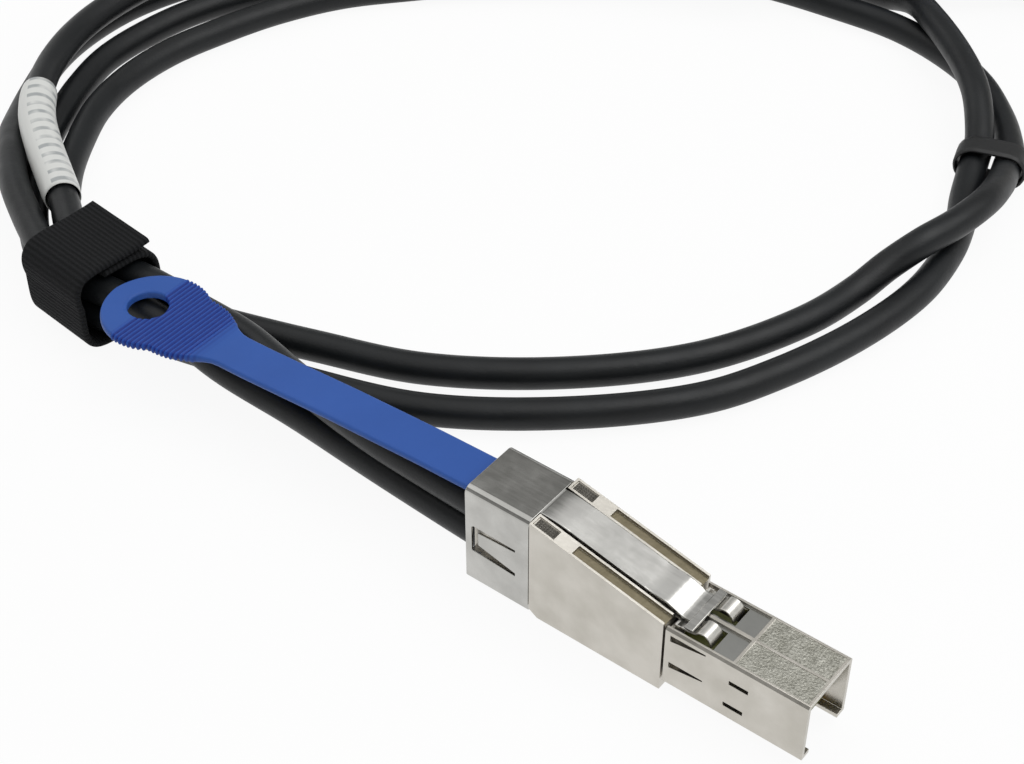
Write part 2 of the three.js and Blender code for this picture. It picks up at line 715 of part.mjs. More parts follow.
function place(name, shape, look, matrix) {
  const geometry = shape.isBufferGeometry ? shape.clone() : toGeometry(shape);
  if (matrix) geometry.applyMatrix4(matrix);
  const mesh = new THREE.Mesh(geometry, new THREE.MeshStandardMaterial(look));
  mesh.name = name;
  part.add(mesh);
}

const dieCast = { color: 0xb9b6ae, metalness: 0.7, roughness: 0.45 };
const stamped = { color: 0xa8a8a6, metalness: 0.9, roughness: 0.3 };
const blue = { color: 0x3859a6, metalness: 0, roughness: 0.5 };
const boardLook = { color: 0x6e7440, metalness: 0.2, roughness: 0.5 };
const darkPlastic = { color: 0x2a2a2c, metalness: 0, roughness: 0.6 };
const foil = { color: 0xc8ccd0, metalness: 0.9, roughness: 0.35 };
const jacket = { color: 0x25282a, metalness: 0, roughness: 0.45 };

function placePlug(prefix, matrix) {
  place(`${prefix}_backshell`, backshell(), dieCast, matrix);
  place(`${prefix}_nose`, nose(), dieCast, matrix);
  place(`${prefix}_slider`, slider(), stamped, matrix);
  place(`${prefix}_latch`, latch(), stamped, matrix);
  place(`${prefix}_lid`, lid(), dieCast, matrix);
  place(`${prefix}_rear_rivet`, rivet(rivetPlaces[0]), stamped, matrix);
  place(`${prefix}_front_rivet`, rivet(rivetPlaces[1]), stamped, matrix);
  place(`${prefix}_lower_board`, board(lowerBoardZ), boardLook, matrix);
  place(`${prefix}_upper_board`, board(upperBoardZ), boardLook, matrix);
  place(`${prefix}_board_spacer`, boardSpacer(), darkPlastic, matrix);
  place(`${prefix}_wire_organiser`, wireOrganiser(), darkPlastic, matrix);
  place(`${prefix}_lower_bundle`, wireBundle(lowerCableZ), foil, matrix);
  place(`${prefix}_upper_bundle`, wireBundle(bundleUpperZ), foil, matrix);
  place(`${prefix}_bundle_clamp`, bundleClamp(), foil, matrix);
  place(`${prefix}_pull_tab`, drapeTab(toGeometry(pullTab())), blue, matrix);
}

placePlug('near', null);
const farPlace = new THREE.Matrix4()
  .makeTranslation(farPlugX, farPlugY, 0)
  .multiply(new THREE.Matrix4().makeRotationZ((farPlugAngle * Math.PI) / 180));
placePlug('far', farPlace);

place('upper_cable', toSolid(tubeAlong(upperCurve, cableRadius, 10, cableSteps)), jacket, null);
place('lower_cable', toSolid(tubeAlong(lowerCurve, cableRadius, 10, cableSteps)), jacket, null);
place('cable_label', wrapLabel(), { color: 0xe8e8e4, metalness: 0, roughness: 0.6 }, null);
place('cable_strap', strap(), { color: 0x151617, metalness: 0, roughness: 0.9 }, null);
place('tape_band', tapeBand(), { color: 0x101113, metalness: 0, roughness: 0.7 }, null);

export default part;
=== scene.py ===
"""Looks of an external high-density serial storage cable with a latching plug on each end.

Metres, Z up, in the part's own frame: the near plug points along +X and lies on z = 0.
"""
import bmesh
import bpy
import numpy as np
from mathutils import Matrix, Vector


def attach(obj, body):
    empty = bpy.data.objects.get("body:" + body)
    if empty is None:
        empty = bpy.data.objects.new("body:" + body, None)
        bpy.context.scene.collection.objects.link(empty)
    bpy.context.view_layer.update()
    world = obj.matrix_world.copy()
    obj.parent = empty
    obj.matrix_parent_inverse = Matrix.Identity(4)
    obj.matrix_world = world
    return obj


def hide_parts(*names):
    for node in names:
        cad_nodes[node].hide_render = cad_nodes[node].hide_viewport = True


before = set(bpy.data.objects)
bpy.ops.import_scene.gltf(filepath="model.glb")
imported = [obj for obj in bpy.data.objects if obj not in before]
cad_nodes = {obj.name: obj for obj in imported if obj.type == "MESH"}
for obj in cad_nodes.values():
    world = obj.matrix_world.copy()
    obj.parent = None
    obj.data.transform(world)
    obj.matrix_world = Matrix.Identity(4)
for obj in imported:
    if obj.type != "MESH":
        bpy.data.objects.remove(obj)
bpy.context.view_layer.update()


# Photographer's table: a white sheet under the cable, a wide soft lamp over it, a weak one behind
# the loop, and a camera held above the near plug, looking down over its nose at the loop.
camera_place = (0.1233, -0.1877, 0.2571)
camera_look = (-0.4550, 0.5874, -0.6693)
camera_lens, camera_film = 70.3125, 36
sheet_half, sheet_low = 3, -0.0003
sheet_glow = 0.93


def paint(code):
    """Linear colour of an #RRGGBB code: each share is raised to 2.4 after its offset is taken off."""
    shares = np.array([int(code[i:i + 2], 16) for i in (1, 3, 5)]) / 255
    linear = np.where(shares <= 0.04045, shares / 12.92, ((shares + 0.055) / 1.055) ** 2.4)
    return (*linear.tolist(), 1.0)


class Reading:
    """A number that varies over a surface. Sums written with it add Math nodes to its finish."""

    def __init__(self, finish, socket):
        self.finish = finish
        self.socket = socket

    def _sum(self, operation, first, second):
        return self.finish.node("ShaderNodeMath", {"operation": operation}, {0: first, 1: second})

    def __add__(self, other):
        return self._sum("ADD", self, other)

    def __sub__(self, other):
        return self._sum("SUBTRACT", self, other)

    def __rsub__(self, other):
        return self._sum("SUBTRACT", other, self)

    def __mul__(self, other):
        return self._sum("MULTIPLY", self, other)

    def __gt__(self, other):
        return self._sum("GREATER_THAN", self, other)

    def __lt__(self, other):
        return self._sum("LESS_THAN", self, other)

    __radd__ = __add__
    __rmul__ = __mul__


class Finish:
    """One material: a Principled shader with its constants, and the nodes that vary it."""

    def __init__(self, name, constants):
        self.material = bpy.data.materials.new(name)
        self.material.use_nodes = True
        self.tree = self.material.node_tree
        self.shader = self.tree.nodes["Principled BSDF"]
        for socket, value in constants.items():
            self.shader.inputs[socket].default_value = value

    def node(self, kind, settings=None, inputs=None, output=0):
        """Adds a node: its settings first, then a value or a link for each socket named."""
        made = self.tree.nodes.new(kind)
        for key, value in (settings or {}).items():
            setattr(made, key, value)
        for key, value in (inputs or {}).items():
            self.feed(made.inputs[key], value)
        return Reading(self, made.outputs[output])

    def feed(self, socket, value):
        if isinstance(value, Reading):
            self.tree.links.new(value.socket, socket)
        else:
            socket.default_value = value

    def vary(self, socket, value):
        self.feed(self.shader.inputs[socket], value)

    def place(self):
        """Where a point lay on its piece before the piece was bent or put in its place."""
        return self.node("ShaderNodeAttribute", {"attribute_name": "laid_flat"}, output="Vector")

    def object_place(self, turn=0.0, shift=(0, 0, 0)):
        """Object coordinates, turned about Z and moved."""
        where = self.node("ShaderNodeTexCoord", output="Object")
        return self.node("ShaderNodeMapping", {"vector_type": "POINT"},
                         {"Vector": where, "Rotation": (0, 0, turn), "Location": shift})

    def noise(self, where, scale, detail=2.0, stretch=None):
        if stretch is not None:
            where = self.node("ShaderNodeVectorMath", {"operation": "MULTIPLY"},
                              {0: where, 1: stretch})
        return self.node("ShaderNodeTexNoise", {},
                         {"Vector": where, "Scale": scale, "Detail": detail})

    def mix(self, first, second, share):
        """Colour that goes from first to second as share goes from 0 to 1."""
        return self.node("ShaderNodeMix", {"data_type": "RGBA"},
                         {0: share, 6: first, 7: second}, output=2)

    def ramp(self, value, low, high):
        """0 up to low, 1 from high on, straight between."""
        return self.node("ShaderNodeMapRange", {},
                         {"Value": value, "From Min": low, "From Max": high})

    def relief(self, height, depth):
        """Tilts the surface as if it stood up by height times depth, in metres."""
        self.vary("Normal", self.node("ShaderNodeBump", {},
                                      {"Height": height, "Distance": depth}, output="Normal"))


camera_data = bpy.data.cameras.new("camera")
camera_data.lens = camera_lens
camera_data.sensor_width = camera_film
camera_data.clip_start = 0.01
camera = bpy.data.objects.new("camera", camera_data)
camera.location = camera_place
camera.rotation_euler = Vector(camera_look).to_track_quat("-Z", "Y").to_euler()
bpy.context.collection.objects.link(camera)
bpy.context.scene.camera = camera
bpy.context.scene.view_settings.view_transform = "Standard"


def soft_lamp(name, place, aim, sides, watts):
    """Rectangular lamp at place whose face looks at aim."""
    data = bpy.data.lights.new(name, "AREA")
    data.shape = "RECTANGLE"
    data.size, data.size_y = sides
    data.energy = watts
    lamp = bpy.data.objects.new(name, data)
    lamp.location = place
    lamp.rotation_euler = (Vector(aim) - Vector(place)).to_track_quat("-Z", "Y").to_euler()
    bpy.context.collection.objects.link(lamp)


soft_lamp("over_table", (0.40, 0.28, 0.75), (0.1, 0.1, 0), (0.8, 0.9), 4.4)
soft_lamp("behind_loop", (-0.75, 0.1, 0.55), (-0.1, 0.1, 0), (0.7, 0.4), 1.0)

sky = bpy.data.worlds.new("studio")
bpy.context.scene.world = sky
sky.use_nodes = True
sky_nodes = sky.node_tree.nodes
sky_links = sky.node_tree.links
direction = sky_nodes.new("ShaderNodeTexCoord")
parts = sky_nodes.new("ShaderNodeSeparateXYZ")
sky_links.new(direction.outputs["Generated"], parts.inputs[0])
height_ramp = sky_nodes.new("ShaderNodeValToRGB")
stops = height_ramp.color_ramp.elements
stops[0].position, stops[0].color = 0.10, (0.90, 0.90, 0.90, 1)
stops[1].position, stops[1].color = 0.42, (0.25, 0.25, 0.245, 1)
stops.new(0.72).color = (0.25, 0.25, 0.245, 1)
stops.new(0.785).color = (1.0, 1.0, 1.0, 1)
sky_links.new(parts.outputs["Z"], height_ramp.inputs[0])
sky_links.new(height_ramp.outputs[0], sky_nodes["Background"].inputs["Color"])

table_mesh = bpy.data.meshes.new("table")
sheet_corners = [(x * sheet_half, y * sheet_half, sheet_low)
                 for x, y in ((-1, -1), (1, -1), (1, 1), (-1, 1))]
table_mesh.from_pydata(sheet_corners, [], [(0, 1, 2, 3)])
table = bpy.data.objects.new("table", table_mesh)
bpy.context.collection.objects.link(table)
sheet_white = Finish("table_paper", {"Base Color": paint("#E4E4E4"), "Roughness": 0.9})
paper_nodes = sheet_white.tree.nodes
glow = paper_nodes.new("ShaderNodeEmission")
glow.inputs["Color"].default_value = (1, 1, 1, 1)
ray = paper_nodes.new("ShaderNodeLightPath")
seen = (Reading(sheet_white, ray.outputs["Is Camera Ray"])
        + Reading(sheet_white, ray.outputs["Is Glossy Ray"])
        + Reading(sheet_white, ray.outputs["Is Transmission Ray"]))
both = paper_nodes.new("ShaderNodeMixShader")
sheet_white.feed(both.inputs[0], seen * sheet_glow)
sheet_white.tree.links.new(sheet_white.shader.outputs[0], both.inputs[1])
sheet_white.tree.links.new(glow.outputs[0], both.inputs[2])
sheet_white.tree.links.new(both.outputs[0], paper_nodes["Material Output"].inputs["Surface"])
table_mesh.materials.append(sheet_white.material)


# Two round leads, each a bundle of screened pairs in an extruded near-black jacket. They leave the
# near plug one over the other, lie round the loop and end in the far plug, gripped in both shells.
MM = 0.001
lead_radius = 3.15 * MM
lead_sides = 28
lead_step = 1.5 * MM
upper_route = np.array([
    [-16.5, 0, 11.5], [-27, 0, 11.5], [-40, 0.5, 11.4], [-55, 1.5, 11.2], [-75, 4.5, 10.9],
    [-92, 8.2, 10.2], [-105, 8.5, 10.4], [-119, 7.6, 11.5], [-131, 6.2, 11.8], [-141, 9.9, 11.6],
    [-149.6, 15.5, 11.2], [-159.3, 21.4, 10.7], [-168.5, 27, 10.6], [-178, 33.7, 10.6],
    [-186, 42, 10.3], [-192.4, 51, 9.6], [-197.5, 63, 9.4], [-199.5, 76, 9.6], [-198.5, 92, 9.8],
    [-193, 109, 9.9], [-184, 127, 9.9], [-171, 147, 9.6], [-155, 167.5, 8], [-135, 182, 5],
    [-112, 192, 3.3], [-90, 199, 3.15], [-76, 201, 3.15], [-65, 199.8, 3.5], [-54, 196, 7.4],
    [-44, 187.6, 9.9], [-31, 176.8, 9.9], [-22.5, 167.4, 9.7], [-17, 159.5, 7.3],
    [-14.3, 154.4, 5.6], [-13.2, 151, 5], [-12.1, 147.6, 4.4], [-9.3, 139.5, 3.4],
    [-5.3, 130, 3.15], [-2.8, 120.3, 3.15], [-1.6, 106.3, 3.15], [-4.2, 88.3, 3.15],
    [-10.6, 68.5, 3.15], [-18.6, 53, 3.15], [-37, 33.7, 3.15], [-58.1, 18.9, 3.15],
    [-78.4, 11.6, 3.15], [-92.1, 8.3, 3.15], [-105, 4.2, 3.7], [-119, 0.6, 5.1],
    [-131, -0.4, 5.15], [-137.5, 1.1, 5.15], [-145, 4.6, 4.2], [-154, 10, 3.3],
    [-163, 17.5, 3.15], [-171, 26, 3.15], [-178, 35, 3.15], [-183.5, 44.5, 3.15],
    [-188, 54, 3.15], [-191.8, 66, 3.15], [-192.2, 80.3, 3.15], [-189.8, 94.6, 3.15],
    [-183, 110.5, 3.15], [-172, 127, 3.15], [-157, 143, 3.3], [-141, 157, 5.5],
    [-124, 169.5, 9.2], [-109, 179.5, 9.9], [-96, 188.5, 9.9],
])
lower_route = np.array([
    [-16.5, 0, 4.7], [-27, 0, 4.7], [-40, 0.5, 4.8], [-55, 1.5, 4.6], [-75, 3, 4.4],
    [-92, 1.7, 7.0], [-105, 1.6, 10.0], [-119, 0.9, 11.4], [-131, -0.5, 11.8],
    [-137.5, 1.0, 11.7], [-145, 4.1, 11.2], [-154.2, 8.9, 10.4], [-164.4, 14.9, 9.6],
    [-173.6, 22, 8.2], [-182, 29.3, 6], [-189, 37.8, 4], [-195.5, 48, 3.2], [-200.5, 58, 3.15],
    [-203.5, 70, 3.15], [-204, 84, 3.15], [-201, 98, 3.15], [-194, 113.5, 3.15],
    [-184, 128, 3.15], [-170, 144, 3.15], [-152, 160, 3.15], [-132, 173, 3.15], [-110, 182, 3.15],
    [-88.3, 187.1, 3.15], [-71.9, 189, 3.15], [-53.7, 189.6, 3.15], [-38.5, 186, 3.15],
    [-27.2, 180.2, 3.15], [-17, 170.5, 3.4], [-11, 162.3, 4.2], [-7.6, 156.3, 4.7],
    [-6.6, 153.1, 5], [-5.6, 149.9, 5.4], [-3.3, 142, 7.6], [-1.9, 132.1, 9.8], [-3.1, 122, 9.9],
    [-5.8, 113.5, 9.1], [-9.2, 106.5, 6], [-11.6, 98.5, 3.4], [-14.9, 84.4, 3.15],
    [-25.2, 62.9, 3.15], [-43.7, 42.8, 3.15], [-65.4, 27.7, 3.15], [-85.6, 20.2, 3.15],
    [-101.1, 15.2, 3.15], [-112, 10.4, 4.7], [-121, 7.4, 5.25], [-131, 6.5, 5.15],
    [-141, 10.2, 5.1], [-149.6, 15.6, 3.9], [-158, 22, 3.2], [-165.5, 29.8, 3.15],
    [-172.5, 39.8, 3.15], [-178.6, 51, 3.15], [-181.8, 63, 3.15], [-182.1, 76.8, 3.15],
    [-179.2, 91, 3.15], [-174.7, 105.3, 3.15], [-167, 120.2, 3.15], [-153.4, 136, 3.3],
    [-137, 150.3, 5.5], [-120.2, 163.2, 9.2], [-105, 173.6, 9.9], [-92.2, 182.8, 9.9],
])
upper_far_end = [[62, 3.5, 9.9], [46, 3.5, 9.9], [30, 3.3, 10.8], [15, 1.2, 11.4], [0, 0, 11.5],
                 [-10.5, 0, 11.5]]
lower_far_end = [[62, -3.5, 10.6], [46, -3.5, 11.3], [30, -3.5, 7.9], [15, -1.2, 4.9], [0, 0, 4.7],
                 [-10.5, 0, 4.7]]
collar_from = -27
far_turn = np.radians(35)
far_place = np.array([-7.9, 244.4, 0]) * MM


def to_far_plug(points):
    """Points of the near plug, turned about Z by the far plug's angle and moved to where it lies."""
    cos, sin = np.cos(far_turn), np.sin(far_turn)
    turn = np.array([[cos, sin, 0], [-sin, cos, 0], [0, 0, 1]])
    return points @ turn + far_place


def behind_far_plug(rows):
    """Rows of distance behind the far collar, side offset and height, as points of the part."""
    back, side, height = np.array(rows, float).T
    return to_far_plug(np.column_stack([collar_from - back, side, height]) * MM)


def curve_through(points, spacing):
    """Smooth curve through points, cut to even steps: on each span a cubic whose slopes come from
    the four points round it, each weighed by the root of its distance to the next."""
    points = np.vstack([2 * points[0] - points[1], points, 2 * points[-1] - points[-2]])
    gaps = np.sqrt(np.linalg.norm(np.diff(points, axis=0), axis=1))[:, None]
    p0, p1, p2, p3 = points[:-3], points[1:-2], points[2:-1], points[3:]
    g0, g1, g2 = gaps[:-2], gaps[1:-1], gaps[2:]
    leave = ((p1 - p0) / g0 - (p2 - p0) / (g0 + g1) + (p2 - p1) / g1) * g1
    arrive = ((p2 - p1) / g1 - (p3 - p1) / (g1 + g2) + (p3 - p2) / g2) * g1
    t = np.linspace(0, 1, 40, endpoint=False)[:, None, None]
    spans = (p1 + leave * t + (3 * (p2 - p1) - 2 * leave - arrive) * t ** 2
             + (2 * (p1 - p2) + leave + arrive) * t ** 3)
    fine = np.vstack([spans.transpose(1, 0, 2).reshape(-1, 3), p2[-1:]])
    along = np.concatenate([[0], np.cumsum(np.linalg.norm(np.diff(fine, axis=0), axis=1))])
    even = np.linspace(0, along[-1], int(round(along[-1] / spacing)) + 1)
    return np.column_stack([np.interp(even, along, fine[:, k]) for k in range(3)]), along[-1]


def across(path):
    """Level and rising unit directions square to the path at each of its points."""
    forward = np.gradient(path, axis=0)
    forward /= np.linalg.norm(forward, axis=1)[:, None]
    level = np.cross([0, 0, 1], forward)
    level /= np.linalg.norm(level, axis=1)[:, None]
    return level, np.cross(forward, level)


def grid_faces(rows, columns, caps, closed_rows=False):
    """Four-sided faces between each loop of a grid and the next; caps adds a face on the first
    and the last loop, closed_rows joins the last loop to the first instead."""
    row = np.arange(rows if closed_rows else rows - 1)[:, None]
    column = np.arange(columns)[None, :]
    above, after = (row + 1) % rows, (column + 1) % columns
    quads = np.stack([row * columns + column, row * columns + after,
                      above * columns + after, above * columns + column], axis=-1)
    faces = quads.reshape(-1, 4).tolist()
    if caps:
        faces.append(list(range(columns))[::-1])
        faces.append(list(range((rows - 1) * columns, rows * columns)))
    return faces


def remember_flat(mesh, flat):
    """Keeps each point's laid-flat place on the mesh for the finishes to read."""
    mesh.attributes.new("laid_flat", "FLOAT_VECTOR", "POINT").data.foreach_set("vector", flat.ravel())


def piece(name, points, flat, faces, finish, body, replaced):
    """Puts points and faces into a mesh with outward faces and hangs it on its body."""
    mesh = bpy.data.meshes.new(name)
    mesh.from_pydata(points.tolist(), [], faces)
    work = bmesh.new()
    work.from_mesh(mesh)
    bmesh.ops.recalc_face_normals(work, faces=work.faces)
    work.to_mesh(mesh)
    work.free()
    mesh.shade_smooth()
    remember_flat(mesh, flat)
    mesh.materials.append(finish.material)
    made = bpy.data.objects.new(name, mesh)
    bpy.context.collection.objects.link(made)
    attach(made, body)
    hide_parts(*replaced)
    return made


jacket = Finish("lead_jacket", {"Specular IOR Level": 0.32})
where = jacket.place()
tone = jacket.noise(where, 55, 3)
jacket.vary("Base Color", jacket.mix(paint("#0C0E10"), paint("#15181A"), jacket.ramp(tone, 0.3, 0.7)))
jacket.vary("Roughness", jacket.noise(where, 260, 3) * 0.22 + 0.32)
jacket.relief(jacket.noise(where, 2600, 2) + jacket.noise(where, 180, 2) * 2.0, 0.00004)


def lead(name, route, far_end):
    """Circle carried along the route, with its centre on the path and its edge on the level and
    rising directions; laid flat it is the same tube along a straight line."""
    path, length = curve_through(np.vstack([route * MM, behind_far_plug(far_end)]), lead_step)
    level, rising = across(path)
    turn = np.linspace(0, 2 * np.pi, lead_sides, endpoint=False)
    ring = lead_radius * (np.cos(turn)[:, None] * level[:, None]
                          + np.sin(turn)[:, None] * rising[:, None])
    distance = np.linspace(0, length, len(path))
    flat = np.stack(np.broadcast_arrays(lead_radius * np.cos(turn), lead_radius * np.sin(turn),
                                        distance[:, None]), axis=-1)
    points = (path[:, None] + ring).reshape(-1, 3)
    made = piece(name + "_jacket", points, flat.reshape(-1, 3),
                 grid_faces(len(path), lead_sides, True), jacket, "cable_and_shells",
                 [name])
    return made, path, length


upper_lead, upper_path, upper_length = lead("upper_cable", upper_route, upper_far_end)
lower_lead, lower_path, lower_length = lead("lower_cable", lower_route, lower_far_end)


# Wrap-round label: a strip of white vinyl rolled round the upper lead with rows of grey print and
# clear film over them, stuck to itself.
label_from = np.array([-150.6, 16, 10.4]) * MM
label_to = np.array([-185, 41, 9.8]) * MM
label_inside, label_outside = 0.5 * MM, 0.85 * MM
label_sides = 40
print_edge = 1.6 * MM

vinyl = Finish("label_vinyl", {})
where = vinyl.place()
split = vinyl.node("ShaderNodeSeparateXYZ", {}, {0: where}, output="X")
rows = vinyl.node("ShaderNodeTexWave", {"wave_type": "BANDS", "bands_direction": "Z"},
                  {"Vector": where, "Scale": 95})
worn = vinyl.noise(where, 330, 1)
print_share = vinyl.ramp(rows, 0.55, 0.8) * vinyl.ramp(worn, 0.3, 0.6) * (split < print_edge)
vinyl.vary("Base Color", vinyl.mix(paint("#D2D3D0"), paint("#8C9193"), print_share * 0.8))
vinyl.vary("Roughness", vinyl.noise(where, 120, 2) * 0.25 + 0.3)
vinyl.relief(vinyl.noise(where, 170, 3, (1, 1, 0.35)), 0.00035)

first = int(np.argmin(np.linalg.norm(upper_path - label_from, axis=1)))
last = int(np.argmin(np.linalg.norm(upper_path - label_to, axis=1)))
label_path = upper_path[first:last + 1]


def wrapped_tube(path, inner, full):
    """Tube wall round a path: each row is a circle, of the full radius on the way out, where the
    wall thins to a third at both ends, and of the inner radius on the way back, so that the rows
    close on themselves."""
    level, rising = across(path)
    count = len(path)
    share = np.linspace(0, 1, count)
    ends = np.clip(np.minimum(share, 1 - share) * count / 2.0, 0, 1)
    outer = inner + (full - inner) * (0.35 + 0.65 * np.sqrt(ends))
    order = np.concatenate([np.arange(count), np.arange(count)[::-1]])
    radius = np.concatenate([outer, np.full(count, inner)])
    turn = np.linspace(0, 2 * np.pi, label_sides, endpoint=False)
    round_x, round_y = np.cos(turn), np.sin(turn)
    rings = (path[order][:, None] + radius[:, None, None]
             * (round_x[:, None] * level[order][:, None] + round_y[:, None] * rising[order][:, None]))
    run = np.concatenate([[0], np.cumsum(np.linalg.norm(np.diff(path, axis=0), axis=1))])[order]
    flat = np.stack(np.broadcast_arrays(radius[:, None] * round_x, radius[:, None] * round_y,
                                        run[:, None]), axis=-1)
    faces = grid_faces(len(order), label_sides, False, closed_rows=True)
    return rings.reshape(-1, 3), flat.reshape(-1, 3), faces


points, flat, faces = wrapped_tube(label_path, lead_radius + label_inside,
                                   lead_radius + label_outside)
label = piece("label_wrap", points, flat, faces, vinyl, "cable_and_shells",
              ["cable_label"])


# Hook-and-loop strap: black woven tape wound once and a bit round the four strands behind the pull
# tab, its free end left standing off the turn.
strap_centre = np.array([-129, 3.9, 8.45]) * MM
strap_heading = np.radians(174)
strap_width = 18 * MM
strap_thick = 1.3 * MM
strap_half_wide, strap_half_high = 9.2, 7.9
strap_turns = (0.2, 1.25)
lap_from, lap_rate, lap_most = 1.05, 18, 1.75
flap_length, flap_lift = 8, 0.5

webbing = Finish("strap_webbing", {"Roughness": 0.95, "Specular IOR Level": 0.25})
where = webbing.place()
ribs = webbing.node("ShaderNodeTexWave", {"wave_type": "BANDS", "bands_direction": "X"},
                    {"Vector": where, "Scale": 330, "Distortion": 0.8, "Detail": 2.0,
                     "Detail Scale": 3.0})
fuzz = webbing.noise(where, 4200, 3)
webbing.vary("Base Color", webbing.mix(paint("#08090A"), paint("#1D1E20"), ribs * 0.6 + fuzz * 0.4))
webbing.relief(ribs + fuzz * 0.7, 0.00022)


def strap_line():
    """Centre line of the strap across the strands: a rounded box, cos and sin over the fourth root
    of the sum of their fourth powers, that widens where the end lies over the start; then a flap
    that leaves the top straight and curls up a little."""
    turn = np.linspace(*strap_turns, 150)
    angle = turn * 2 * np.pi
    lap = np.clip((turn - lap_from) * lap_rate, 0, lap_most)
    reach = (np.cos(angle) ** 4 + np.sin(angle) ** 4) ** -0.25
    loop = np.column_stack([(strap_half_wide + lap) * reach * np.cos(angle),
                            (strap_half_high + lap) * reach * np.sin(angle)])
    out = np.linspace(0, flap_length, 16)[1:]
    flap = loop[-1] + np.column_stack([-out, flap_lift * (out / flap_length) ** 2])
    return np.vstack([loop, flap]) * MM


def strap_surface():
    """Flat strip with rounded edges carried along the strap's line: width runs along the strands."""
    centre = strap_line()
    forward = np.gradient(centre, axis=0)
    forward /= np.linalg.norm(forward, axis=1)[:, None]
    outward = np.column_stack([forward[:, 1], -forward[:, 0]])
    half, rim = strap_width / 2, strap_thick / 2
    width = np.linspace(-half + rim, half - rim, 24)
    bow = np.linspace(np.pi / 2, -np.pi / 2, 7)[1:-1]
    face = np.full(len(width), rim)
    ring_v = np.concatenate([width, half - rim + rim * np.cos(bow),
                             width[::-1], -half + rim - rim * np.cos(bow)])
    ring_n = np.concatenate([face, rim * np.sin(bow), -face, -rim * np.sin(bow)])
    flat_place = centre[:, None] + ring_n[None, :, None] * outward[:, None]
    along = np.array([np.cos(strap_heading), np.sin(strap_heading), 0])
    side = np.array([-np.sin(strap_heading), np.cos(strap_heading), 0])
    points = (strap_centre + flat_place[..., :1] * side + flat_place[..., 1:] * np.array([0, 0, 1])
              + ring_v[None, :, None] * along)
    run = np.concatenate([[0], np.cumsum(np.linalg.norm(np.diff(centre, axis=0), axis=1))])
    flat = np.stack(np.broadcast_arrays(run[:, None], ring_v, ring_n), axis=-1)
    return points.reshape(-1, 3), flat.reshape(-1, 3), grid_faces(len(centre), len(ring_v), True)


points, flat, faces = strap_surface()
strap = piece("strap_loop", points, flat, faces, webbing, "cable_and_shells",
              ["cable_strap"])


# Tape band: a few turns of black vinyl tape that hold the two leads side by side at the right of
# the loop.
tape_centre = np.array([-9.9, 152.0, 5.0]) * MM
tape_heading = np.radians(-72.5)
tape_apart = 3.45

tape_finish = Finish("tape_vinyl", {"Base Color": paint("#0E0F10")})
where = tape_finish.place()
tape_finish.vary("Roughness", tape_finish.noise(where, 500, 2) * 0.3 + 0.35)
tape_finish.relief(tape_finish.noise(where, 350, 3, (0.3, 1, 1)), 0.0003)


def tape_surface():
    """Stadium loop, two half circles joined by straight runs, carried across the tape's width and
    back inside, with a step where each turn lies short of the one under it."""
    angle = np.linspace(-np.pi / 2, np.pi / 2, 16)
    x = np.repeat([tape_apart, -tape_apart], len(angle))
    normal_x = np.concatenate([np.cos(angle), -np.cos(angle)])
    normal_y = np.concatenate([np.sin(angle), -np.sin(angle)])
    spot = np.array([-3, -2.92, -2.5, -2.42, -1.6, 0, 1.6, 2.4, 2.5, 2.92, 3, 3, -3]) * MM
    radius = np.array([4.05, 4.18, 4.18, 4.32, 4.35, 4.35, 4.35, 4.35, 4.22, 4.22, 4.05,
                       3.75, 3.75]) * MM
    loop_x = x * MM + radius[:, None] * normal_x
    loop_y = radius[:, None] * normal_y
    along = np.array([np.cos(tape_heading), np.sin(tape_heading), 0])
    side = np.array([-np.sin(tape_heading), np.cos(tape_heading), 0])
    points = (tape_centre + loop_x[..., None] * side + loop_y[..., None] * np.array([0, 0, 1])
              + spot[:, None, None] * along)
    flat = np.stack(np.broadcast_arrays(loop_x, loop_y, spot[:, None]), axis=-1)
    faces = grid_faces(len(spot), len(x), False, closed_rows=True)
    return points.reshape(-1, 3), flat.reshape(-1, 3), faces


points, flat, faces = tape_surface()
tape = piece("tape_turns", points, flat, faces, tape_finish, "cable_and_shells",
             ["tape_band"])


plated = Finish("plated_casting", {"Metallic": 1.0})
where = plated.place()
cloud = plated.noise(where, 140, 4)
grain = plated.noise(where, 1500, 3)
plated.vary("Base Color", plated.mix(paint("#BDB9B0"), paint("#CDC9C1"),
                                     plated.ramp(cloud, 0.35, 0.65)))
plated.vary("Roughness", grain * 0.14 + cloud * 0.12 + 0.2)
plated.relief(grain * 0.4 + plated.noise(where, 320, 2), 0.00003)

tumbled = Finish("tumbled_casting", {"Metallic": 1.0})
where = tumbled.place()
flecks = tumbled.noise(where, 2600, 3)
scuffs = tumbled.noise(where, 700, 3, (1, 0.6, 1))
tumbled.vary("Base Color", tumbled.mix(paint("#8C8B81"), paint("#BEBDB4"),
                                       tumbled.ramp(flecks * 0.6 + scuffs * 0.4, 0.36, 0.66)))
tumbled.vary("Roughness", flecks * 0.3 + 0.3)
tumbled.relief(flecks + scuffs, 0.00009)

# Floors of the long rail recesses: a matte olive casting, coloured darker than the plating, partly
# its own tone and partly painted shade.
recess_shaded_matte = Finish("recess_shaded_matte", {"Metallic": 1.0, "Roughness": 0.5})
where = recess_shaded_matte.place()
recess_mottle = recess_shaded_matte.noise(where, 600, 3)
recess_shaded_matte.vary("Base Color", recess_shaded_matte.mix(paint("#6A6350"), paint("#857D69"), recess_mottle))
recess_shaded_matte.relief(recess_shaded_matte.noise(where, 2200, 2), 0.00004)

# Floors of the latch windows: the plated metal in a darker grey, painted shade in the windows under
# the hooks.
window_shaded_metal = Finish("window_shaded_metal", {"Metallic": 1.0, "Roughness": 0.3})
where = window_shaded_metal.place()
haze = window_shaded_metal.noise(where, 300, 3)
window_shaded_metal.vary("Base Color", window_shaded_metal.mix(paint("#8E8E8B"), paint("#A2A29E"), haze))


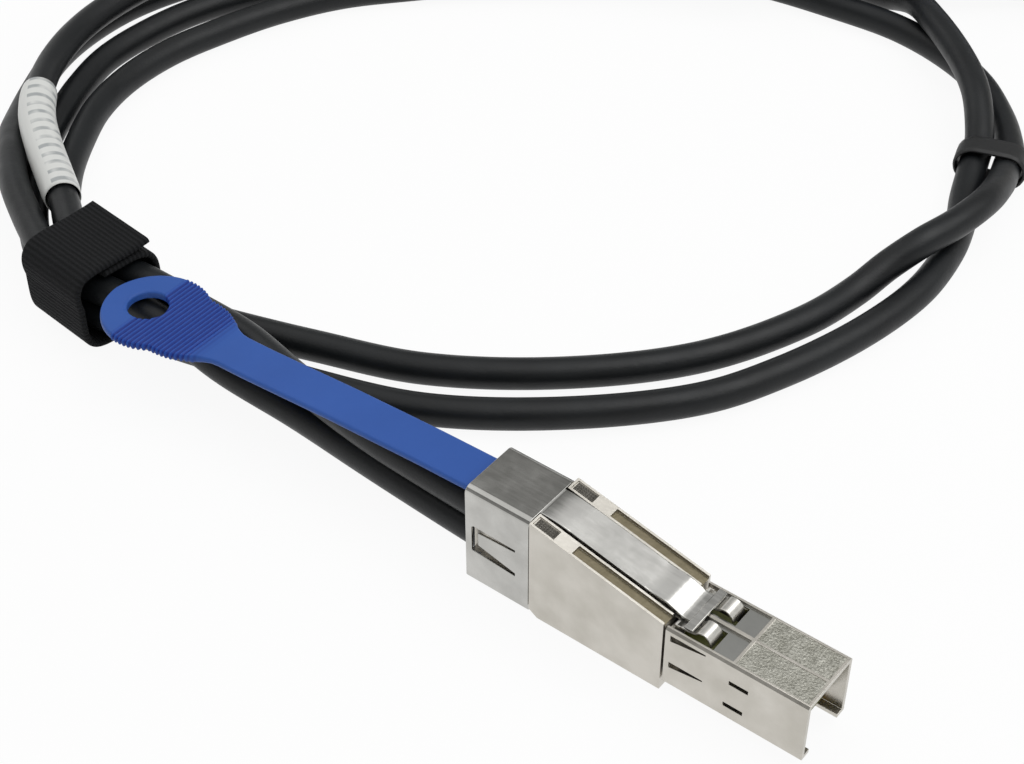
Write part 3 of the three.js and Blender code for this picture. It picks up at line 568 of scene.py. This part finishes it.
def merged_copy(node):
    """The CAD node's own solid with its doubled points merged and its flat faces made whole."""
    work = bmesh.new()
    work.from_mesh(cad_nodes[node].data)
    work.transform(cad_nodes[node].matrix_world)
    bmesh.ops.remove_doubles(work, verts=work.verts, dist=0.000004)
    bmesh.ops.dissolve_limit(work, angle_limit=np.radians(1.2), verts=work.verts, edges=work.edges)
    return work


def soften(work, width, least=28):
    """Rounds each edge whose two faces meet at more than `least` degrees."""
    sharp = [edge for edge in work.edges
             if edge.is_manifold and edge.calc_face_angle(0) > np.radians(least)]
    for face in work.faces:
        face.smooth = False
    made = bmesh.ops.bevel(work, geom=sharp, offset=width, segments=2, profile=0.5, affect="EDGES",
                           clamp_overlap=True, offset_type="OFFSET")
    for face in made["faces"]:
        face.smooth = True


def on_both_plugs(name, work, finishes, pick, body, replaced):
    """Puts a finished mesh on the near plug and, turned and moved, on the far one. pick gives the
    number of each face's finish from the faces' centres and normals."""
    base = bpy.data.meshes.new(name)
    work.to_mesh(base)
    work.free()
    points = np.empty(len(base.vertices) * 3)
    base.vertices.foreach_get("co", points)
    points = points.reshape(-1, 3)
    centres = np.array([face.center for face in base.polygons]) / MM
    normals = np.array([face.normal for face in base.polygons])
    base.polygons.foreach_set("material_index", pick(centres, normals).astype(int))
    for plug, placed in (("near", points), ("far", to_far_plug(points))):
        mesh = base.copy()
        mesh.vertices.foreach_set("co", placed.ravel())
        mesh.update()
        remember_flat(mesh, points)
        for finish in finishes:
            mesh.materials.append(finish.material)
        part = bpy.data.objects.new(plug + "_" + name, mesh)
        bpy.context.collection.objects.link(part)
        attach(part, body.replace("PLUG", plug))
        if replaced:
            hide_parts(*[node.replace("PLUG", plug) for node in replaced])


def plain(centres, normals):
    return np.zeros(len(centres))


def rail_height(x):
    """Height of the rails' top at x: a straight fall from the rear to the nose."""
    rear, front = (-13.3, 21.8), (13.6, 15.9)
    return rear[1] + (front[1] - rear[1]) * (x - rear[0]) / (front[0] - rear[0])


def shell_finish(centres, normals):
    """1 on the floors of the long recesses in the rails, 0 elsewhere."""
    rail_centre, rail_half, recess_from, recess_least = 5.3, 1.0, -5, 14
    x, y, z = centres.T
    sunk = (z > recess_least) & (z < rail_height(x) - 0.4)
    on_rail = (np.abs(np.abs(y) - rail_centre) < rail_half) & (x > recess_from)
    return np.where(sunk & on_rail & (normals[:, 2] > 0.8), 1, 0)


shell = merged_copy("near_backshell")
soften(shell, 0.14 * MM)
on_both_plugs("shell_casting", shell, [plated, recess_shaded_matte], shell_finish, "cable_and_shells",
              ["PLUG_backshell"])


# Knurled pads at the rear of the rails, cast in: rows of small pyramids, coloured darker than the
# plating.
pad_along = (-12.75, -8.75)
pad_across = (4.35, 6.25)
pad_steps_along, pad_steps_across = 65, 33

knurl = Finish("knurl", {"Metallic": 1.0, "Roughness": 0.5})
where = knurl.place()
knurl.vary("Base Color", knurl.mix(paint("#5D5A54"), paint("#8B8882"), knurl.noise(where, 900, 2)))


def zigzag(t):
    """0 at each whole number, 1 half way between, straight lines from one to the other."""
    return 1 - np.abs((t % 1) * 2 - 1)


def knurl_pad(side):
    """Slab whose top is the rail's slope plus the lower of two zigzags, one along X, one along Y."""
    x = np.linspace(*pad_along, pad_steps_along)[:, None]
    y = np.linspace(*pad_across, pad_steps_across)[None, :]
    grid = np.minimum(zigzag((x - pad_along[0]) / 0.5), zigzag((y - pad_across[0]) / 0.475))
    top = rail_height(x) - 0.3 + 0.24 * grid
    base = rail_height(x) - 0.42 + 0 * y
    loop_y = np.concatenate([y[0], y[0][::-1]])
    loop_z = np.concatenate([top, base[:, ::-1]], axis=1)
    points = np.stack(np.broadcast_arrays(x, side * loop_y, loop_z), axis=-1).reshape(-1, 3) * MM
    return points, grid_faces(pad_steps_along, len(loop_y), True)


def fill(points_and_faces):
    """One working mesh from several lists of points and faces, faces outward."""
    work = bmesh.new()
    for points, faces in points_and_faces:
        corners = [work.verts.new(point) for point in points.tolist()]
        for face in faces:
            work.faces.new([corners[i] for i in face])
    bmesh.ops.recalc_face_normals(work, faces=work.faces)
    return work


on_both_plugs("rail_knurls", fill([knurl_pad(-1), knurl_pad(1)]), [knurl], plain,
              "cable_and_shells", [])


# Nose shroud of each plug: cast with the shell and plated with it, with side slots round two spring
# tabs, latch windows in the top and two tumbled panels ahead of them.
def nose_finish(centres, normals):
    """1 on the two top panels, 2 on the floors of the latch windows, 0 elsewhere."""
    windows_end, panels_half = 26.8, 5.8
    x, y, z = centres.T
    level = normals[:, 2] > 0.9
    panel = level & (x > windows_end) & (z > 14.8) & (z < 15.0) & (np.abs(y) < panels_half)
    window = level & (x < windows_end) & (z > 14.2) & (z < 14.9)
    return np.where(panel, 1, np.where(window, 2, 0))


shroud = merged_copy("near_nose")
soften(shroud, 0.1 * MM)
on_both_plugs("nose_casting", shroud, [plated, tumbled, window_shaded_metal], nose_finish,
              "cable_and_shells", ["PLUG_nose"])


# Slider of each plug: one bright nickel-plated stamping, a collar round the rear with a U cut in
# each wall and a plate that runs down the slope to a foot over the latch.
stamped = Finish("stamped_nickel", {"Metallic": 1.0})
where = stamped.place()
rolled = stamped.noise(where, 900, 3, (0.12, 1.0, 1.0))
smudge = stamped.noise(where, 160, 4)
stamped.vary("Base Color", stamped.mix(paint("#B0AFAB"), paint("#C2C1BD"),
                                       stamped.ramp(smudge, 0.35, 0.65)))
stamped.vary("Roughness", rolled * 0.07 + stamped.ramp(smudge, 0.45, 0.75) * 0.08 + 0.10)
stamped.relief(rolled, 0.000012)

collar_to = -13.6
collar_half, collar_top, collar_bottom, collar_bend = 6.6, 21.6, 0.1, 1.4
stock = 0.5
plate_line = np.array([[-13.6, 21.6], [-10.2, 21.6], [8.5, 17.5], [11.9, 17.2], [15.0, 15.9],
                       [16.4, 15.9]])
plate_bends = [0, 2.4, 0.9, 0.6, 0.5, 0]
plate_half, plate_rim = 3.5, 0.12
longest_bend_face = 0.75 * MM


def prism(outline, axis, low, high):
    """Outline's corners, in the two directions other than axis, carried straight from low to high."""
    ends = [np.insert(np.array(outline, float), axis, place, axis=1) for place in (low, high)]
    return np.vstack(ends) * MM, grid_faces(2, len(outline), True)


def rounded_line(corners, radii):
    """Line through the corners with each turned into a curve: a weighted mean of the corner and
    two points a set way before and after it, with weights (1-t)^2, 2t(1-t) and t^2. One more point
    on each side of a curve keeps its smooth shading off the flats."""
    t = np.linspace(0, 1, 8)[:, None]
    pieces = []
    for before, corner, after, radius in zip(corners[:-2], corners[1:-1], corners[2:], radii[1:-1]):
        start = corner + radius * (before - corner) / np.linalg.norm(before - corner)
        stop = corner + radius * (after - corner) / np.linalg.norm(after - corner)
        arc = (1 - t) ** 2 * start + 2 * t * (1 - t) * corner + t ** 2 * stop
        lead_in, lead_out = start - 0.2 * (corner - start), stop + 0.2 * (stop - corner)
        pieces.append(np.vstack([lead_in, arc, lead_out]))
    return np.vstack([corners[:1], *pieces, corners[-1:]])


def ribbon(line, thick, low, high, rim):
    """Strip of sheet metal seen from the side as line, its top face, with thickness under it,
    carried across from low to high with quarter-round edges of radius rim. One more point inside
    each edge keeps its smooth shading off the face."""
    forward = np.gradient(line, axis=0)
    forward /= np.linalg.norm(forward, axis=1)[:, None]
    down = np.column_stack([forward[:, 1], -forward[:, 0]])
    bow = np.linspace(0, np.pi / 2, 4)
    inner = [low + 2 * rim, high - 2 * rim]
    y = np.concatenate([low + rim - rim * np.cos(bow), inner, high - rim + rim * np.cos(bow[::-1])])
    depth = np.concatenate([rim - rim * np.sin(bow), [0, 0], rim - rim * np.sin(bow[::-1])])
    ring_y = np.concatenate([y, y[::-1]])
    ring_depth = np.concatenate([depth, thick - depth[::-1]])
    side = line[:, None] + ring_depth[None, :, None] * down[:, None]
    points = np.stack(np.broadcast_arrays(side[..., 0], ring_y, side[..., 1]), axis=-1)
    return points.reshape(-1, 3) * MM, grid_faces(len(line), len(ring_y), True)


def collar_wall():
    """Closed sheet round the rear: a box loop with round top edges, outside then inside, carried
    from the collar's rear to its front."""
    bow = np.linspace(0, np.pi / 2, 9)
    loops = []
    for inset in (0, stock):
        half, top = collar_half - inset, collar_top - inset
        low, bend = collar_bottom + inset, collar_bend - inset
        foot = 0.6 - 0.5 * inset
        y = np.concatenate([half - bend + bend * np.cos(bow),
                            -half + bend - bend * np.cos(bow[::-1]),
                            -half + foot - foot * np.cos(bow),
                            half - foot + foot * np.cos(bow[::-1])])
        z = np.concatenate([top - bend + bend * np.sin(bow), top - bend + bend * np.sin(bow[::-1]),
                            low + foot - foot * np.sin(bow),
                            low + foot - foot * np.sin(bow[::-1])])
        loops.append(np.column_stack([y, z]))
    places = [(collar_from, 0), (collar_to, 0), (collar_to, 1), (collar_from, 1)]
    points = np.vstack([np.insert(loops[which], 0, x, axis=1) for x, which in places])
    return points * MM, grid_faces(4, len(loops[0]), False, closed_rows=True)


def spring_cut(side):
    """U-shaped slot through a collar wall: upright behind, a thin run above, a wedge below."""
    outline = [(-25.7, 7.4), (-24.6, 7.4), (-16.4, 6.9), (-16.4, 7.6), (-24.3, 9.4), (-24.3, 12.3),
               (-16.4, 12.7), (-16.4, 13.2), (-25.2, 13.4), (-25.7, 13.0)]
    return prism(outline, 1, *sorted((side * 5.9, side * 7.2)))


def cut_away(solid, cutter):
    """The solid less the cutter, as a new working mesh."""
    both = []
    for work in (solid, cutter):
        mesh = bpy.data.meshes.new("cutting")
        work.to_mesh(mesh)
        work.free()
        body = bpy.data.objects.new("cutting", mesh)
        bpy.context.collection.objects.link(body)
        both.append(body)
    modifier = both[0].modifiers.new("cut", "BOOLEAN")
    modifier.operation = "DIFFERENCE"
    modifier.object = both[1]
    modifier.solver = "EXACT"
    result = both[0].evaluated_get(bpy.context.evaluated_depsgraph_get())
    work = bmesh.new()
    work.from_mesh(result.to_mesh())
    result.to_mesh_clear()
    for body in both:
        bpy.data.objects.remove(body)
    return work


collar = cut_away(fill([collar_wall()]), fill([spring_cut(-1), spring_cut(1)]))
bmesh.ops.dissolve_limit(collar, angle_limit=np.radians(1), verts=collar.verts, edges=collar.edges)
soften(collar, 0.1 * MM, 30)
plate = rounded_line(plate_line, plate_bends)
foot = prism([(16.4, 15.4), (18.0, 15.4), (18.0, 15.9), (16.4, 15.9)], 1, -5.1, 5.1)
post = prism([(-22.6, 17.5), (-21.6, 17.5), (-21.6, 21.2), (-22.6, 21.2)], 1, -2, 2)
ends = fill([foot, post])
soften(ends, 0.12 * MM, 30)
sheet_parts = fill([ribbon(plate, stock, -plate_half, plate_half, plate_rim)])
for face in sheet_parts.faces:
    along = [corner.co.x for corner in face.verts]
    face.smooth = max(along) - min(along) < longest_bend_face
for other in (ends, sheet_parts):
    joined = bpy.data.meshes.new("slider_part")
    other.to_mesh(joined)
    other.free()
    collar.from_mesh(joined)
on_both_plugs("slider_stamping", collar, [stamped], plain, "PLUG_release",
              ["PLUG_slider"])


# Latch of each plug: a thin spring-steel stamping pinned under the foot, with two arched hooks that
# stand out of the windows.
hook_line = np.array([[15.0, 15.1], [17.2, 15.1], [18.3, 15.25], [19.0, 16.05], [20.3, 16.15],
                      [21.3, 15.2], [21.6, 14.2]])
hook_bends = [0, 0.5, 0.35, 0.45, 0.6, 0.45, 0]
hook_width, hook_thick, hook_rim = 3.4, 0.35, 0.08
hook_edges = (-4.9, 1.5)
arch_from = 15.7 * MM

latch_metal = Finish("latch_spring", {"Metallic": 1.0})
where = latch_metal.place()
worn = latch_metal.noise(where, 500, 3)
latch_metal.vary("Base Color", latch_metal.mix(paint("#CFCDC6"), paint("#E6E4DE"), worn))
latch_metal.vary("Roughness", latch_metal.noise(where, 1800, 2) * 0.2 + 0.22)

hook_side = rounded_line(hook_line, hook_bends)
hooks = [ribbon(hook_side, hook_thick, low, low + hook_width, hook_rim) for low in hook_edges]
root = prism([(8.6, 14.7), (15.05, 14.7), (15.05, 15.1), (8.6, 15.1)], 1, -3.4, 3.4)
bridge = prism([(14.6, 14.7), (15.6, 14.7), (15.6, 15.09), (14.6, 15.09)], 1, -5, 5)
latch = fill([*hooks, root, bridge])
for face in latch.faces:
    face.smooth = len(face.verts) == 4 and face.calc_center_median().x > arch_from
on_both_plugs("latch_hooks", latch, [latch_metal], plain, "PLUG_catch",
              ["PLUG_latch"])


# Pull tab of each plug: a moulded blue strip hooked under the collar, flaring to a round head with a
# finger hole and ridges across it for grip.
tab_half_thick, tab_rim, head_extra = 0.7, 0.5, 0.22
tab_rise = np.array([[-117, 15.6], [-95, 15.6], [-80, 16.0], [-60, 17.2], [-40, 18.2], [-27, 18.7],
                     [-19, 18.7]])
tab_sway = np.array([[-117, -1.5], [-85, -0.7], [-60, -0.2], [-40, 0], [-19, 0]])
hole_x, hole_radius = -107.6, 3.9
ridge_from, ridge_to, ridge_pitch, ridge_deep = -107.0, -90.6, 0.95, 0.42
head_end, head_centre, head_long, head_wide = -115.97, -105.6, 10.4, 10.2
head_meets_strip = -99.6

blue = Finish("tab_blue", {"Specular IOR Level": 0.3})
where = blue.place()
ridge_zone = blue.node("ShaderNodeSeparateXYZ", {}, {0: where}, output="X")
ridged = blue.ramp(ridge_zone, -0.0890, -0.0925) * blue.ramp(ridge_zone, -0.1075, -0.1068)
groove = blue.node("ShaderNodeMath", {"operation": "PINGPONG"},
                   {0: ridge_zone - ridge_from * MM, 1: ridge_pitch / 2 * MM})
# Across the ridges the blue darkens towards the bottom of each groove: painted shade in the grooves.
ridge_blue_shaded = blue.mix(paint("#1C489C"), paint("#052478"), blue.ramp(groove, 0.00012, 0.00036))
tone = blue.noise(where, 90, 3)
smooth_blue = blue.mix(paint("#284F98"), paint("#2E57A4"), tone)
blue.vary("Base Color", blue.mix(smooth_blue, ridge_blue_shaded, ridged))
blue.vary("Roughness", blue.noise(where, 700, 2) * 0.18 + 0.42)
blue.relief(blue.noise(where, 1900, 2), 0.00001)


def tab_half_width(x):
    """Half width of the tab at x: level strip, a flare, then the round head, an ellipse."""
    strip = np.interp(x, [head_meets_strip, -97, -95, -93.5, -92, -90.5, -89, -87.5, -86],
                      [8.36, 8.2, 7.85, 7.3, 6.55, 5.75, 5.0, 4.5, 4.35])
    head = head_wide * np.sqrt(np.clip(1 - ((x - head_centre) / head_long) ** 2, 0, None))
    return np.where(x > head_meets_strip, strip, head)


def tab_surface():
    """Rounded strip section carried along X, its half width and its ridges functions of x; across
    the width the top is level and the edges are quarter rounds."""
    fine = np.arange(ridge_from - 0.4, ridge_to + 0.4, ridge_pitch / 10)
    end = head_end + 8.0 * (1 - np.cos(np.linspace(0, np.pi / 2, 30))) * 1.07
    x = np.unique(np.concatenate([end[end < fine[0] - 0.05], fine,
                                  np.linspace(fine[-1] + 0.1, -80, 30), np.linspace(-79, -19, 40)]))
    phase = (x - ridge_from) / ridge_pitch
    inside = np.clip((x - ridge_from + 0.1) / 0.2, 0, 1) * np.clip((ridge_to - x) / 2.5, 0, 1)
    groove = inside * (0.5 - 0.5 * np.cos(2 * np.pi * phase)) ** 0.8
    half = tab_half_width(x)
    head_lift = head_extra * np.clip((-88 - x) / 3, 0, 1)
    t = np.linspace(-1, 1, 27)
    bow = np.linspace(np.pi / 2, -np.pi / 2, 9)[1:-1]
    side_flat = np.concatenate([t, np.ones(7), t[::-1], -np.ones(7)])
    side_round = np.concatenate([0 * t, np.cos(bow), 0 * t, -np.cos(bow)])
    up_sign = np.concatenate([0 * t + 1, np.sin(bow), 0 * t - 1, -np.sin(bow)])
    thick = (tab_half_thick + head_lift - ridge_deep * groove)[:, None]
    reach = (half + 0.2 * (inside > 0) - 0.3 * groove)[:, None]
    small = np.minimum(tab_rim, reach * 0.9)
    y = side_flat * (reach - small) + side_round * small
    z = up_sign * thick
    points = np.stack(np.broadcast_arrays(x[:, None], y, z), axis=-1).reshape(-1, 3) * MM
    return points, grid_faces(len(x), len(side_flat), True)


def hole_cutter():
    """Turned shape for the finger hole: its radius flares at both faces so that the rim is round."""
    flare = 0.47
    height = np.linspace(-1.6, 1.6, 33)
    over = np.clip(np.abs(height) - 0.45, 0, None)
    out = np.where(over < flare, flare - np.sqrt(np.clip(flare ** 2 - over ** 2, 0, None)), flare)
    radius = (hole_radius + out)[:, None]
    turn = np.linspace(0, 2 * np.pi, 64, endpoint=False)
    points = np.stack(np.broadcast_arrays(hole_x + radius * np.cos(turn), radius * np.sin(turn),
                                          height[:, None]), axis=-1).reshape(-1, 3) * MM
    return points, grid_faces(len(height), len(turn), True)


tab = cut_away(fill([tab_surface()]), fill([hole_cutter()]))
for face in tab.faces:
    face.smooth = True
tab_flat = np.array([vertex.co for vertex in tab.verts])
for vertex, (x, y, z) in zip(tab.verts, tab_flat / MM):
    vertex.co = (x * MM, (y + np.interp(x, *tab_sway.T)) * MM, (z + np.interp(x, *tab_rise.T)) * MM)
on_both_plugs("tab_moulding", tab, [blue], plain, "PLUG_release",
              ["PLUG_pull_tab"])


# Inside each plug: two boards with gold contact pads, the plastic spacer and organiser round them,
# the screened wire bundles in their clamp, and the riveted lid over the casting's channel.
pads_from, pads_to = 32.5 * MM, 37.1 * MM
pads_apart, pad_width = 0.75 * MM, 0.44 * MM


def board_finish(name, turn, shift):
    """Olive solder mask with a row of gold pads near the front edge."""
    made = Finish(name, {"Roughness": 0.45})
    where = made.object_place(turn, shift)
    x = made.node("ShaderNodeSeparateXYZ", {}, {0: where}, output="X")
    y = made.node("ShaderNodeSeparateXYZ", {}, {0: where}, output="Y")
    from_pad = made.node("ShaderNodeMath", {"operation": "PINGPONG"}, {0: y, 1: pads_apart / 2})
    pads = (x > pads_from) * (x < pads_to) * (from_pad < pad_width / 2)
    mask = made.mix(paint("#5B5E2C"), paint("#71743C"), made.noise(where, 300, 3))
    made.vary("Base Color", made.mix(mask, paint("#C9A24A"), pads))
    made.vary("Metallic", pads * 0.9)
    return made


def dress(node, finish):
    """Gives a CAD node its finish."""
    data = cad_nodes[node].data
    data.materials.clear()
    data.materials.append(finish.material)


cos, sin = np.cos(far_turn), np.sin(far_turn)
far_shift = (-far_place[0] * cos - far_place[1] * sin, far_place[0] * sin - far_place[1] * cos, 0)
boards = {"near": board_finish("near_board", 0.0, (0, 0, 0)),
          "far": board_finish("far_board", -far_turn, far_shift)}
moulded = Finish("black_moulding", {"Base Color": paint("#222224"), "Roughness": 0.5})
moulded.relief(moulded.noise(moulded.object_place(), 1800, 2), 0.00003)
foil = Finish("screen_foil", {"Metallic": 1.0, "Base Color": paint("#C4C8CC")})
foil.vary("Roughness", foil.noise(foil.object_place(), 700, 3) * 0.3 + 0.2)
foil.relief(foil.noise(foil.object_place(), 500, 3), 0.0002)
lid_metal = Finish("lid_casting", {"Metallic": 1.0, "Base Color": paint("#B5B2AA")})
lid_metal.vary("Roughness", lid_metal.noise(lid_metal.object_place(), 900, 3) * 0.2 + 0.3)

for plug in ("near", "far"):
    for board in ("_lower_board", "_upper_board"):
        dress(plug + board, boards[plug])
    for moulding in ("_board_spacer", "_wire_organiser"):
        dress(plug + moulding, moulded)
    for screen in ("_lower_bundle", "_upper_bundle", "_bundle_clamp"):
        dress(plug + screen, foil)
    for metal in ("_lid", "_rear_rivet", "_front_rivet"):
        dress(plug + metal, lid_metal)
